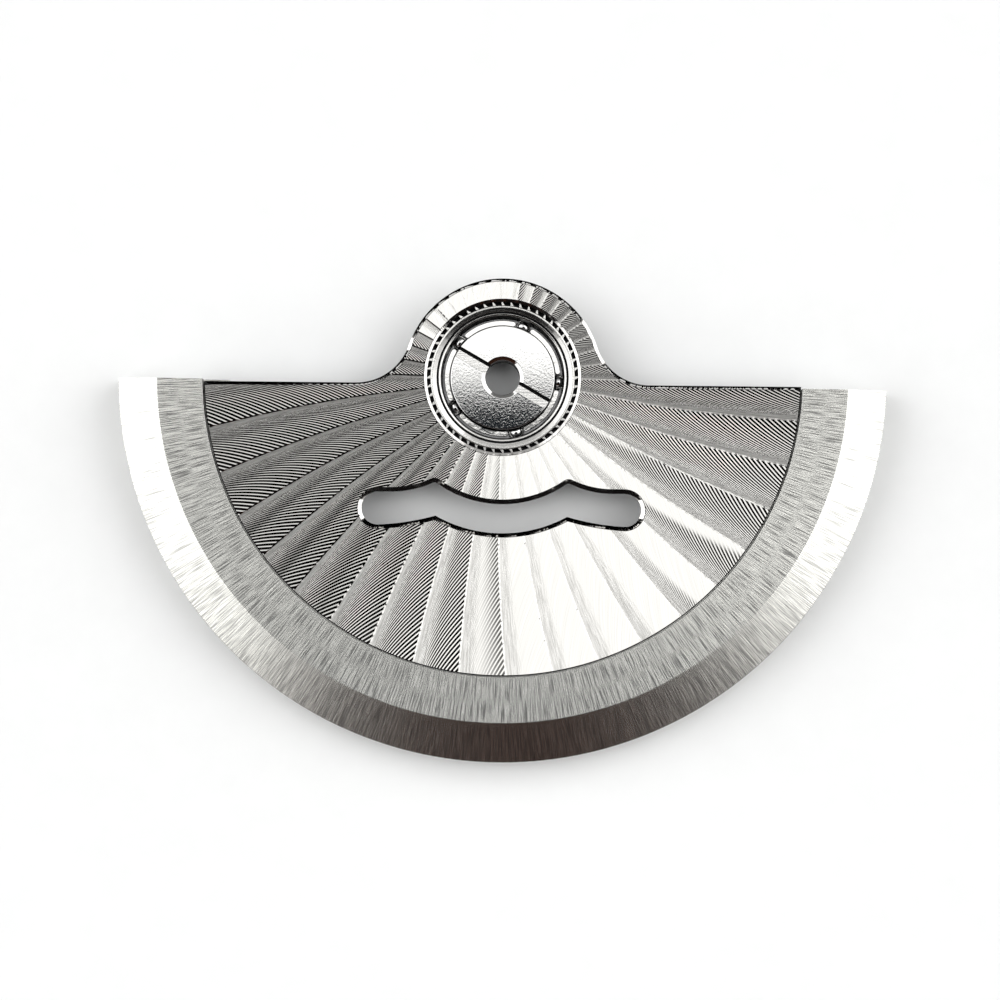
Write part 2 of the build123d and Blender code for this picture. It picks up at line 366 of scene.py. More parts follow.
def engraved_plate():
    """Bright cut grooves, whose finer marks blur them toward each sector's far side."""
    material, shader, place = metal("plate_engraved", (0.62, 0.615, 0.60), 0.16, 0.9)
    grain, across = (
        put(place.tree, "Attribute", output="Vector", attribute_name=name) for name in ("grain", "across")
    )
    share = parts(grain)[1]
    marks = grain.stretched((2.6, 0.9, 5.0)).noise(1.0, 2.0)
    lines = grain.stretched((0.35, 26.0, 5.0)).noise(1.0, 1.0).ramp(0.3, 0.7)
    mixed = marks + (lines - marks) * share.ramp(0.55, 0.85)
    mixed.between((0.47, 0.465, 0.45), (0.67, 0.665, 0.65)).feed(shader, "Base Color")
    share.ramp(groove_blur_start, groove_blur_end, 0.05, 0.28).feed(shader, "Roughness")
    spread_along(shader, across)
    return material


def polished(name, colour=(0.66, 0.65, 0.635), roughness=0.08):
    """Smooth bright metal with the faint unevenness of a polish."""
    material, shader, place = metal(name, colour, roughness)
    cloud = place.noise(3.0, 3.0)
    bump(shader, cloud, 0.002)
    roughen(shader, cloud, roughness * 0.7, roughness * 1.5)
    return material


def blasted(name, colour, roughness):
    """Finely pitted metal."""
    material, shader, place = metal(name, colour, roughness)
    pits = place.noise(15.0, 2.0, 0.7)
    bump(shader, pits, 0.0016)
    roughen(shader, pits, roughness * 0.8, roughness * 1.3)
    return material


def milled_slot_painted_highlight(name):
    """Milling marks that run along the slot, on steel painted much brighter than the rest of the cone as a
    painted highlight.
    """
    material, shader, place = metal(name, (0.90, 0.895, 0.88), 0.16, 0.8)
    turn = (0, 0, math.radians(-slot_degrees))
    lined = put(place.tree, "Mapping", {0: place, "Rotation": turn, "Scale": (0.8, 22.0, 1.0)})
    marks = lined.noise(1.0, 2.0)
    bump(shader, marks, 0.002)
    marks.between((0.74, 0.735, 0.72), (0.92, 0.915, 0.90)).feed(shader, "Base Color")
    spread_along(shader, (*polar(1.0, slot_degrees + 90), 0.0))
    return material


def painted_shade_steel(name):
    """Dull near-black steel, as painted shade on the walls, recesses and undersides where shade falls."""
    material, shader, place = metal(name, (0.015, 0.015, 0.016), 0.35)
    roughen(shader, place.noise(6.0, 3.0), 0.28, 0.45)
    return material


def turned_steel(name, colour, roughness, depth):
    """Fine tool lines that run round the axis."""
    material, shader, place = metal(name, colour, roughness, 0.8)
    x, y, z = parts(place)
    fine = 1 / tool_line_spacing
    lines = vector_of(distance(x, y) * fine, y.math("ARCTAN2", x) * 1.5, z * fine).noise(1.0, 2.0)
    bump(shader, lines, depth)
    roughen(shader, lines, roughness * 0.7, roughness * 1.4)
    spread_along(shader, vector_of(x, y))
    return material


def brushed_flat(name, dark, light):
    """Straight brushing along X."""
    material, shader, place = metal(name, light, 0.34, 0.5)
    strokes = place.stretched((0.8, 16.0, 16.0)).noise(1.0, 3.0)
    bump(shader, strokes, 0.006)
    strokes.between(dark, light).feed(shader, "Base Color")
    return material


# Meshes


def new_object(name, points, faces, materials=()):
    """An object from points in millimetres."""
    mesh = bpy.data.meshes.new(name)
    mesh.from_pydata([tuple(c * MM for c in point) for point in points], [], faces)
    for material in materials:
        mesh.materials.append(material)
    made = bpy.data.objects.new(name, mesh)
    bpy.context.scene.collection.objects.link(made)
    return made


def add_piece(name, points, faces, materials, body, stands_for, sharp=50.0):
    """A piece from points in millimetres, riding on a body and standing for CAD nodes."""
    piece = new_object(name, points, faces, materials)
    finish_mesh(piece.data, sharp)
    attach(piece, body)
    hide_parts(*stands_for)
    return piece


def face_outwards(mesh, weld=0.0):
    """Turns every face outwards, and first welds points that lie closer than a distance."""
    work = bmesh.new()
    work.from_mesh(mesh)
    if weld:
        bmesh.ops.remove_doubles(work, verts=work.verts, dist=weld * MM)
    bmesh.ops.recalc_face_normals(work, faces=work.faces)
    work.to_mesh(mesh)
    work.free()


def finish_mesh(mesh, sharp=50.0):
    """Turns every face outwards and shades smooth up to the sharp angle."""
    face_outwards(mesh)
    mesh.polygons.foreach_set("use_smooth", [True] * len(mesh.polygons))
    mesh.set_sharp_from_angle(angle=math.radians(sharp))
    mesh.update()


def paint(piece, rule):
    """Gives each face the material that a rule picks from its middle and its direction."""
    for polygon in piece.data.polygons:
        middle = polygon.center / MM
        polygon.material_index = rule(math.hypot(middle.x, middle.y), middle.z, polygon.normal)


def rounded(corners, radius, steps=3):
    """A closed outline with each corner (r, z) or (r, z, radius) eased, and its sides kept flat."""
    points = [Vector(corner[:2]) for corner in corners]
    sizes = [corner[2] if len(corner) > 2 else radius for corner in corners]
    outline = []
    for index, point in enumerate(points):
        before = points[index - 1] - point
        after = points[(index + 1) % len(points)] - point
        size = min(sizes[index], before.length * corner_share, after.length * corner_share)
        if size <= 0:
            outline.append(point)
            continue
        first = point + before.normalized() * size
        last = point + after.normalized() * size
        outline.append(point + before.normalized() * size * guard_share)
        for step in range(steps + 1):
            share = step / steps
            outline.append(first * (1 - share) ** 2 + point * 2 * share * (1 - share) + last * share**2)
        outline.append(point + after.normalized() * size * guard_share)
    return [(p.x, p.y) for p in outline]


def weighted_outline(corners, spread=0.0):
    """An outline with its corners (r, z, radius, weight) eased, and the weight of each of its points.

    A spread moves each corner out a little more than the last, so that no two share a place.
    """
    places = [(r + spread * index, z) for index, (r, z, _, _) in enumerate(corners)]
    outline, weights = [], []
    for index, (_, _, radius, weight) in enumerate(corners):
        before, after = places[index - 1], places[(index + 1) % len(places)]
        eased = rounded([(*before, 0), (*places[index], radius), (*after, 0)], 0, 2)[1:-1]
        outline += eased
        weights += [weight] * len(eased)
    return outline, weights


def swept(outline, angles, teeth=0.0):
    """Points of an outline swept round Z, and their rows and columns. Teeth add to the radius."""
    radii, heights = np.array(outline).T
    reach, turns, tall = np.broadcast_arrays(radii + teeth, np.radians(angles), heights)
    points = np.stack([reach * np.cos(turns), reach * np.sin(turns), tall], -1)
    return points.reshape(-1, 3).tolist(), turns.shape


def grid_faces(rows, columns, round_rows=True, round_columns=True):
    """Quads of a grid of points, whose last row or column can join its first."""
    numbers = np.arange(rows * columns).reshape(rows, columns)
    if round_rows:
        numbers = np.concatenate([numbers, numbers[:1]])
    if round_columns:
        numbers = np.concatenate([numbers, numbers[:, :1]], 1)
    corners = (numbers[:-1, :-1], numbers[:-1, 1:], numbers[1:, 1:], numbers[1:, :-1])
    return np.stack(corners, -1).reshape(-1, 4).tolist()


def tube_faces(rows, columns):
    """Quads between the rows of a tube, and a face at each of its ends."""
    ends = [list(range(columns)), list(range((rows - 1) * columns, rows * columns))]
    return grid_faces(rows, columns, False) + ends


def full_turn(count):
    """Angles of a full turn, one in each row."""
    return np.arange(count)[:, None] * 360 / count


def lathe(outline):
    """Points and faces of a full turn of an outline."""
    points, size = swept(outline, full_turn(lathe_segments))
    return points, grid_faces(*size)


def capped_lathe(outline, segments):
    """A full turn of an open outline, closed by a point at each end of the axis."""
    points, (rows, columns) = swept(outline, full_turn(segments))
    faces = grid_faces(rows, columns, True, False)
    bottom, top = len(points), len(points) + 1
    points += [(0, 0, outline[0][1]), (0, 0, outline[-1][1])]
    for row in range(rows):
        following = (row + 1) % rows
        faces.append((bottom, following * columns, row * columns))
        faces.append((top, (row + 1) * columns - 1, (following + 1) * columns - 1))
    return points, faces


def toothed_lathe(outline, weights, count, root_share, tip_share, height, lean=0.0):
    """A full turn of an outline that carries teeth, as far as the weight of each point says."""
    corners = [(-root_share, 0), (lean - tip_share, height), (lean + tip_share, height), (root_share, 0)]
    angles = [[(index + share) * 360 / count] for index in range(count) for share, _ in corners]
    points, size = swept(outline, angles, np.outer([out for _, out in corners] * count, weights))
    return points, grid_faces(*size)


def square_ring(inner, outer, bottom, top):
    """The four corners of a flat ring's section."""
    return [(inner, bottom), (outer, bottom), (outer, top), (inner, top)]


# Plate: outlines


def left_of(run):
    """The unit normals on the left of directions."""
    return np.stack([-run[..., 1], run[..., 0]], -1) / np.linalg.norm(run, axis=-1, keepdims=True)


def straight(start, end):
    """Points along a line and the normals on its left."""
    start, end = np.array(start, float), np.array(end, float)
    run = end - start
    count = max(2, int(np.linalg.norm(run) / outline_spacing) + 1)
    share = np.linspace(0, 1, count)[:, None]
    return start + share * run, np.repeat(left_of(run)[None, :], count, 0)


def curve(centre, radius, start_degrees, end_degrees, spacing=outline_spacing):
    """Points along an arc and the normals on its left."""
    span = math.radians(end_degrees - start_degrees)
    count = max(3, int(abs(span) * radius / spacing) + 1)
    turns = np.linspace(math.radians(start_degrees), math.radians(end_degrees), count)
    outward = np.stack([np.cos(turns), np.sin(turns)], -1)
    left = -outward if span > 0 else outward
    return np.array(centre) + radius * outward, left


def curve_between(centre, radius, start, end, spacing=outline_spacing):
    """The shorter arc between two points of a circle."""
    first, last = (math.degrees(math.atan2(y - centre[1], x - centre[0])) for x, y in (start, end))
    last -= 360 * round((last - first) / 360)
    return curve(centre, radius, first, last, spacing)


def circle_through(start, middle, end):
    """Centre and radius of the circle through three points."""
    a, b, c = (np.array(p, float) for p in (start, middle, end))
    rows = np.array([b - a, c - a])
    sides = np.array([(b @ b - a @ a) / 2, (c @ c - a @ a) / 2])
    centre = np.linalg.solve(rows, sides)
    return centre, float(np.linalg.norm(a - centre))


def circle_left_of(start, end, radius):
    """Centre of the circle of that radius through two points, on their left."""
    start, end = np.array(start, float), np.array(end, float)
    half = np.linalg.norm(end - start) / 2
    return (start + end) / 2 + left_of(end - start) * math.sqrt(radius**2 - half**2)


def outline_data(runs, marks):
    """Joins runs of (points, normals) into arrays, with each run's (inset, drop, chain) at its points."""
    points, normals = (np.concatenate(arrays) for arrays in zip(*runs))
    counts = [len(run_points) for run_points, _ in runs]
    inset, drop, chain = np.repeat(np.array(marks, float), counts, axis=0).T
    return {"points": points, "normals": normals, "inset": inset, "drop": drop, "chain": chain}


def plate_outline():
    """The plate's outer edge, with the plate on its left."""
    edge_x = math.sqrt(plate_radius**2 - edge_setback**2)
    fillet_y = hub_fillet_radius - edge_setback
    fillet_x = math.sqrt((hub_radius + hub_fillet_radius) ** 2 - fillet_y**2)
    contact = math.degrees(math.atan2(fillet_y, fillet_x))
    end = math.degrees(math.asin(edge_setback / plate_radius))
    runs = [
        straight((edge_x, -edge_setback), (fillet_x, -edge_setback)),
        curve((fillet_x, fillet_y), hub_fillet_radius, -90, -180 + contact),
        curve((0, 0), hub_radius, contact, 180 - contact),
        curve((-fillet_x, fillet_y), hub_fillet_radius, -contact, -90),
        straight((-fillet_x, -edge_setback), (-edge_x, -edge_setback)),
        curve((0, 0), plate_radius, 180 + end, 360 - end),
    ]
    bevel = (plate_chamfer, plate_chamfer_drop, 0)
    edge_break = (plate_edge_break, plate_edge_break, 1)
    return outline_data(runs, [bevel] * 5 + [edge_break])


def peak_round(bowl_centre, bowl_radius, shoulder_centre):
    """The centre of the round at the window's right peak, and where it touches its two arcs."""
    reach_a, reach_b = bowl_radius + window_peak_radius, window_shoulder_radius + window_peak_radius
    between = shoulder_centre - bowl_centre
    apart = np.linalg.norm(between)
    along = (reach_a**2 - reach_b**2 + apart**2) / (2 * apart)
    across = left_of(between) * math.sqrt(reach_a**2 - along**2)
    foot = bowl_centre + between / apart * along
    centre = min((foot + across, foot - across), key=lambda p: np.linalg.norm(p - window_peak))
    touch_bowl = bowl_centre + (centre - bowl_centre) / reach_a * bowl_radius
    touch_shoulder = shoulder_centre + (centre - shoulder_centre) / reach_b * window_shoulder_radius
    return centre, touch_bowl, touch_shoulder


def window_outline():
    """The window's edge, with the plate on its left, so it runs clockwise."""
    left_peak, left_kink = ((-x, y) for x, y in (window_peak, window_kink))
    bowl_centre, bowl_radius = circle_through(left_peak, (0, -window_top), window_peak)
    low_centre, low_radius = circle_through(left_kink, (0, -window_bottom), window_kink)
    end_top = (window_end[0], window_end[1] + window_end_radius)
    end_bottom = (window_end[0], window_end[1] - window_end_radius)
    shoulder = (window_end[0] - window_shoulder_length, end_top[1])
    shoulder_centre = circle_left_of(window_peak, shoulder, window_shoulder_radius)
    lower_centre = circle_left_of(window_kink, end_bottom, window_lower_radius)
    round_centre, touch_bowl, touch_shoulder = peak_round(bowl_centre, bowl_radius, shoulder_centre)
    right = [
        curve_between(round_centre, window_peak_radius, touch_bowl, touch_shoulder, outline_spacing / 2),
        curve_between(shoulder_centre, window_shoulder_radius, touch_shoulder, shoulder),
        straight(shoulder, end_top),
        curve(window_end, window_end_radius, 90, -90),
        curve_between(lower_centre, window_lower_radius, end_bottom, window_kink),
    ]
    left = [(p[::-1] * (-1, 1), n[::-1] * (-1, 1)) for p, n in reversed(right)]
    low = curve_between(low_centre, low_radius, window_kink, left_kink)
    bowl = curve_between(bowl_centre, bowl_radius, touch_bowl * (-1, 1), touch_bowl)
    runs = [*right, low, *left, bowl]
    return outline_data(runs, [(window_chamfer, window_chamfer_drop, 0)] * len(runs))


def seat_outline():
    """The bearing's seat, with the plate on its left, so it runs clockwise."""
    return outline_data([curve((0, 0), seat_radius, 360, 0)], [(seat_lip_width, seat_lip_drop, 0)])


# Plate: engraved top


def boundary_angle(index, radius):
    """Angle in radians of one sector boundary, which is straight near the axis and leans further out."""
    straight_angle = sector_phase_degrees + index * 360 / sector_count
    beyond = radius - sector_lean_radius
    beyond = (beyond + np.sqrt(beyond**2 + sector_lean_ease)) / 2
    return np.radians(straight_angle - sector_lean + sector_lean_fall * beyond)


def groove_turn(share):
    """Angle in radians between a groove and the radius, across its sector."""
    turn = groove_turn_start - groove_turn_fall * share - groove_turn_bend * share**2
    return np.radians(np.maximum(turn, groove_turn_least))


def groove_slope(share):
    """Angle in radians of a groove's faces, across its sector."""
    return np.radians(groove_slope_start + (groove_slope_end - groove_slope_start) * share)


def groove_growth(shares):
    """How far from the axis a groove has run, as a share of where it starts."""
    fine = np.linspace(0, 1, 401)
    steps = np.diff(fine) * math.radians(360 / sector_count)
    slopes = 1 / np.tan(groove_turn((fine[1:] + fine[:-1]) / 2))
    logs = np.concatenate([[0], np.cumsum(steps * slopes)])
    return np.exp(np.interp(shares, fine, logs))


def groove_starts(rng, valley_share):
    """Radii where a sector's grooves start, in rows between one ridge and the next."""
    pitch_at_rim = groove_pitch_at_axis + groove_pitch_growth * plate_radius
    pitch_inside = groove_pitch_at_axis + groove_pitch_growth * groove_innermost
    count = math.ceil(math.log(pitch_at_rim / pitch_inside) / groove_pitch_growth)
    ridges = np.arange(count + 1, dtype=float)
    ridges[1:-1] += rng.uniform(-groove_jitter, groove_jitter, count - 1)
    phase = np.arange(count * groove_rows + 1) % groove_rows * valley_share
    places = np.arange(count * groove_rows + 1) // groove_rows + phase
    rows = np.interp(places, np.arange(count + 1), ridges)
    start = (pitch_at_rim * np.exp(-groove_pitch_growth * rows) - groove_pitch_at_axis) / groove_pitch_growth
    return start, rows, phase


def sector_surface(index):
    """One sector as a grid: x, y, z, its grain (row, share, sector) and the way across its grooves."""
    rng = np.random.default_rng(sector_seed + index)
    heading = math.radians(sector_phase_degrees + (index + 0.5) * 360 / sector_count - groove_valley_bearing)
    start, rows, phase = groove_starts(rng, 0.5 + groove_valley_sway * math.cos(heading))
    shares = np.linspace(0, 1, groove_steps + 1) ** groove_step_bend
    radius = start[:, None] * groove_growth(shares)[None, :]
    span = math.radians(360 / sector_count) - sector_wall_width / radius
    angle = boundary_angle(index + 1, radius) - shares[None, :] * span
    pitch = groove_pitch_at_axis + groove_pitch_growth * start[:, None]
    spacing = pitch * (groove_growth(shares) * np.sin(groove_turn(shares)))[None, :]
    steep = np.tan(groove_slope(shares))
    outward = sector_fall_at_axis + (1 - sector_fall_at_axis) * radius / plate_radius
    fall = sector_fall * outward * shares[None, :]
    z = plate_top - fall - spacing / 2 * steep * np.where(phase[:, None] > 0, 1.0, 0.0)
    grain = np.broadcast_arrays(rows[:, None], shares, float(index))
    x, y = radius * np.cos(angle), radius * np.sin(angle)
    across = np.arctan2(np.gradient(y, axis=1), np.gradient(x, axis=1)) + math.pi / 2
    return np.stack([x, y, z, *grain, np.cos(across), np.sin(across)], -1)


def stitch(first, first_places, second, second_places):
    """Triangles between two chains of points, taken in the order of their places."""
    faces = []
    i = j = 0
    while i < len(first) - 1 or j < len(second) - 1:
        second_done = j == len(second) - 1
        if second_done or (i < len(first) - 1 and first_places[i + 1] <= second_places[j + 1]):
            faces.append((first[i], second[j], first[i + 1]))
            i += 1
        else:
            faces.append((first[i], second[j], second[j + 1]))
            j += 1
    return faces


def grid_triangles(rows, columns, offset):
    """Two triangles for each cell of a grid of points."""
    quads = offset + np.array(grid_faces(rows, columns, False, False))
    return np.concatenate([quads[:, (0, 3, 1)], quads[:, (1, 3, 2)]])


def sunburst_surface():
    """Every sector's grid and the walls between neighbours, as points and triangles."""
    grids = [sector_surface(index) for index in range(sector_count)]
    rows, columns = grids[0].shape[:2]
    size = rows * columns
    points = np.concatenate([grid.reshape(-1, grid.shape[-1]) for grid in grids])
    triangles = [grid_triangles(rows, columns, index * size) for index in range(sector_count)]
    radii = np.hypot(points[:, 0], points[:, 1])
    for index in range(sector_count):
        following = (index + 1) % sector_count
        inward = np.arange(rows)[::-1] * columns
        high = index * size + inward
        low = following * size + inward + columns - 1
        triangles.append(np.array(stitch(high, radii[high], low, radii[low])))
    return points, upward(points, np.concatenate(triangles))


def upward(points, triangles):
    """The same triangles, each turned to face up, without those of no area."""
    a, b, c = (points[triangles[:, k], :2] for k in range(3))
    area = (b[:, 0] - a[:, 0]) * (c[:, 1] - a[:, 1]) - (b[:, 1] - a[:, 1]) * (c[:, 0] - a[:, 0])
    turned = triangles.copy()
    turned[area < 0] = triangles[area < 0][:, ::-1]
    least_area = 1e-9
    return turned[np.abs(area) > least_area]


class Edge:
    """An outline's inset line, with the signed distance from it and the place along it."""

    def __init__(self, outline):
        trimmed = outline["inset"] * (1 - lip_share)
        self.normals = outline["normals"]
        self.points = outline["points"] + self.normals * trimmed[:, None]
        base = search_tree(outline["points"], range(len(trimmed)))
        far_enough = trimmed - edge_tolerance
        self.kept = np.array([base.find((x, y, 0))[2] for x, y in self.points]) > far_enough
        self.tree = search_tree(self.points, np.flatnonzero(self.kept))
        self.chains = [
            search_tree(self.points, np.flatnonzero(self.kept & (outline["chain"] == chain)))
            for chain in np.unique(outline["chain"])
        ]

    def places(self, points):
        """The index of the nearest point of the line, for each point."""
        return nearest_in(self.tree, points)

    def depth(self, points):
        """How far each point lies inside the plate, the least over the line's chains."""
        found = []
        for tree in self.chains:
            nearest = nearest_in(tree, points)
            found.append(((points - self.points[nearest]) * self.normals[nearest]).sum(1))
        return np.minimum.reduce(found)


def search_tree(points, chosen):
    """A search tree of the chosen ones of flat points."""
    tree = KDTree(len(chosen))
    for index in chosen:
        tree.insert((*points[index], 0), index)
    tree.balance()
    return tree


def nearest_in(tree, points):
    """The index of a search tree's nearest point, for each point."""
    return np.array([tree.find((x, y, 0))[1] for x, y in points])


def triangle_edges(triangles):
    """The three directed edges of every triangle."""
    return np.concatenate([triangles[:, pair] for pair in ((0, 1), (1, 2), (2, 0))])


def crossings(points, ends, edge, depth):
    """Where lines between pairs of points cross an edge, by steps that narrow each one down."""
    low, high = np.zeros(len(ends)), np.ones(len(ends))
    depth_low, depth_high = depth[ends[:, 0]], depth[ends[:, 1]]
    steps, margin_share = 5, 0.02
    for step in range(steps + 1):
        share = low + (high - low) * depth_low / (depth_low - depth_high)
        if step < steps:
            margin = (high - low) * margin_share
            share = np.clip(share, low + margin, high - margin)
        between = points[ends[:, 0]] * (1 - share[:, None]) + points[ends[:, 1]] * share[:, None]
        found = edge.depth(between[:, :2])
        same = (found > 0) == (depth_low > 0)
        low, depth_low = np.where(same, share, low), np.where(same, found, depth_low)
        high, depth_high = np.where(same, high, share), np.where(same, depth_high, found)
    return between


def trim(points, triangles, edge):
    """Cuts away what lies outside an edge, with new points on the edge itself."""
    depth = edge.depth(points[:, :2])
    inside = depth > 0
    count = inside[triangles].sum(1)
    kept = [tuple(triangle) for triangle in triangles[count == 3]]
    crossed = triangles[(count == 1) | (count == 2)]
    ends = triangle_edges(crossed)
    ends = ends[inside[ends[:, 0]] != inside[ends[:, 1]]]
    ends = np.unique(np.sort(ends, 1), axis=0)
    number = {tuple(pair): len(points) + index for index, pair in enumerate(ends.tolist())}
    for triangle in crossed.tolist():
        corners = []
        for start, end in zip(triangle, triangle[1:] + triangle[:1]):
            if inside[start]:
                corners.append(start)
            if inside[start] != inside[end]:
                corners.append(number[(min(start, end), max(start, end))])
        kept.append(tuple(corners[:3]))
        if len(corners) == 4:
            kept.append((corners[0], corners[2], corners[3]))
    return np.concatenate([points, crossings(points, ends, edge, depth)]), np.array(kept)


def compact(points, triangles):
    """Drops the points that no triangle uses."""
    used, numbers = np.unique(triangles, return_inverse=True)
    return points[used], numbers.reshape(triangles.shape)


def trimmed_surface(edges):
    """The engraved top within the plate's edges, as points and triangles."""
    points, triangles = sunburst_surface()
    far = np.hypot(points[:, 0], points[:, 1])
    near_plate = (far[triangles].min(1) < plate_radius) & (far[triangles].max(1) > seat_radius)
    low_enough = points[triangles, 1].min(1) < hub_radius
    points, triangles = compact(points, triangles[near_plate & low_enough])
    for edge in edges:
        points, triangles = compact(*trim(points, triangles, edge))
    return points, triangles


def open_loops(triangles):
    """Closed chains of the edges that only one triangle has, each in its triangle's direction."""
    directed = set(map(tuple, triangle_edges(triangles).tolist()))
    following = {start: end for start, end in directed if (end, start) not in directed}
    loops = []
    while following:
        start, point = following.popitem()
        loop = [start]
        while point != start:
            loop.append(point)
            point = following.pop(point)
        loops.append(loop)
    return loops


def border_row(points, edge, loops):
    """The engraved top's own points along an edge, and their places along it."""
    loop = min(loops, key=lambda chain: abs(edge.depth(points[chain[:40], :2])).max())
    places = edge.places(points[loop, :2])
    turn = int(np.argmin(places))
    return loop[turn:] + loop[:turn], np.maximum.accumulate(np.roll(places, -turn))


def edge_rows(outline, edge):
    """Rows down from the engraved top, as (x and y, z, places): bevel's crest, bevel's foot, wall's foot."""
    whole = np.arange(len(outline["points"]))
    shown = np.flatnonzero(edge.kept)
    inset = outline["inset"] * (1 - crest_share)
    crest = outline["points"] + outline["normals"] * inset[:, None]
    crest_z = plate_top - outline["drop"] * crest_share
    return [
        (crest[shown], crest_z[shown], shown),
        (outline["points"], plate_top - outline["drop"], whole),
        (outline["points"], plate_bottom, whole),
    ]


def bordered(outline, edge, points, loops, count):
    """One edge of the plate: its new rows of points, its faces, their materials and its lowest row."""
    last_place = len(outline["points"])
    chains, rows = [border_row(points, edge, loops)], []
    for flat, z, places in edge_rows(outline, edge):
        row = np.zeros((len(flat), points.shape[1]))
        row[:, :2] = flat
        row[:, 2] = z
        rows.append(row)
        chains.append((list(range(count, count + len(flat))), places))
        count += len(flat)
    closed = [(numbers + numbers[:1], [*places, last_place]) for numbers, places in chains]
    lip, bevel, wall = (stitch(*upper, *lower) for upper, lower in zip(closed, closed[1:]))
    foot = chains[2][0][0]
    # The lips, and the narrow bevel beside the rim, are painted shade: a near-black line along every edge.
    narrow = [outline["inset"][max(face) - foot] < joint_chamfer for face in bevel]
    slots = [painted_edge_shade] * len(lip) + [painted_edge_shade if joint else bevelled for joint in narrow] + [walled] * len(wall)
    return rows, lip + bevel + wall, slots, chains[-1][0]


def decorated_plate():
    """The plate as one closed mesh: engraved top, polished bevels, walls and underside."""
    outlines = [plate_outline(), window_outline(), seat_outline()]
    edges = [Edge(outline) for outline in outlines]
    points, triangles = trimmed_surface(edges)
    loops = open_loops(triangles)
    faces, face_slots = triangles.tolist(), [engraved] * len(triangles)
    all_points, rings = [points], []
    for outline, edge in zip(outlines, edges):
        count = sum(len(row) for row in all_points)
        rows, made, slots, lowest = bordered(outline, edge, points, loops, count)
        all_points += rows
        faces += made
        face_slots += slots
        rings.append(lowest)
    whole = np.concatenate(all_points)
    below = underside(whole, rings)
    return whole, faces + below, face_slots + [under] * len(below)


def underside(points, rings):
    """Triangles that fill the plate's lower face between its outer edge and its openings."""
    numbers = [number for ring in rings for number in ring]
    order = {number: index for index, number in enumerate(numbers)}
    flat = [Vector(points[number, :2]) for number in numbers]
    borders = [(order[a], order[b]) for ring in rings for a, b in zip(ring, ring[1:] + ring[:1])]
    made, _, triangles, origin, _, _ = delaunay_2d_cdt(flat, borders, [], 1, 1e-7)
    back = [numbers[min(source)] for source in origin]
    window = points[rings[1], :2]
    faces = []
    for triangle in triangles:
        middle = sum((made[corner] for corner in triangle), Vector((0, 0))) / 3
        if middle.length >= seat_radius and not inside_outline(middle, window):
            faces.append(tuple(back[corner] for corner in triangle))
    return faces


def inside_outline(point, outline):
    """True if a point lies within a closed outline."""
    x, y = outline[:, 0], outline[:, 1]
    next_x, next_y = np.roll(x, -1), np.roll(y, -1)
    spans = (y > point.y) != (next_y > point.y)
    with np.errstate(divide="ignore", invalid="ignore"):
        meets = x + (point.y - y) * (next_x - x) / (next_y - y)
    return bool((spans & (point.x < meets)).sum() % 2)


# Pieces


def make_plate():
    """The decorated plate, with flat facets in its grooves."""
    points, faces, face_slots = decorated_plate()
    materials = [
        engraved_plate(),
        polished("plate_polished"),
        # The walls are painted darker than the top, as painted shade.
        polished("plate_wall_painted_shade", (0.30, 0.30, 0.295), 0.2),
        # The underside is painted dark, as painted shade under the plate.
        brushed_flat("plate_underside_painted_shade", (0.24, 0.24, 0.235), (0.36, 0.36, 0.355)),
        painted_shade_steel("plate_painted_shade"),
    ]
    piece = new_object("rotor_plate_engraved", points[:, :3].tolist(), faces, materials)
    mesh = piece.data
    mesh.polygons.foreach_set("material_index", face_slots)
    flat_across = np.pad(points[:, 6:8], ((0, 0), (0, 1)))
    for name, vectors in (("grain", points[:, 3:6]), ("across", flat_across)):
        added = mesh.attributes.new(name, "FLOAT_VECTOR", "POINT")
        added.data.foreach_set("vector", vectors.astype(np.float32).ravel())
    face_outwards(mesh, weld_distance)
    smooth = [polygon.material_index in (bevelled, walled) for polygon in mesh.polygons]
    mesh.polygons.foreach_set("use_smooth", smooth)
    mesh.set_sharp_from_angle(angle=math.radians(20))
    groove_normals(mesh)
    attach(piece, "rotor")
    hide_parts("rotor_plate")


def point_vectors(mesh, name):
    """A vector attribute of a mesh's points."""
    found = np.zeros(len(mesh.vertices) * 3)
    mesh.attributes[name].data.foreach_get("vector", found)
    return found.reshape(-1, 3)


def groove_normals(mesh):
    """Gives every groove face the exact slope of its cut, free of the mesh's own steps."""
    grain, across = point_vectors(mesh, "grain"), point_vectors(mesh, "across")
    across /= np.maximum(np.linalg.norm(across, axis=1), 1e-6)[:, None]
    corners = np.zeros(len(mesh.loops), int)
    mesh.loops.foreach_get("vertex_index", corners)
    normals = np.zeros((len(corners), 3))
    for polygon in mesh.polygons:
        own = slice(polygon.loop_start, polygon.loop_start + polygon.loop_total)
        used = corners[own]
        if polygon.material_index != engraved or np.ptp(grain[used, 2]) > 0.001:
            continue
        side = np.sign(across[used] @ np.array(polygon.normal))[:, None]
        slope = groove_slope(grain[used, 1])[:, None]
        normals[own] = across[used] * side * np.sin(slope) + np.array([0, 0, 1]) * np.cos(slope)
    mesh.normals_split_custom_set(normals.tolist())


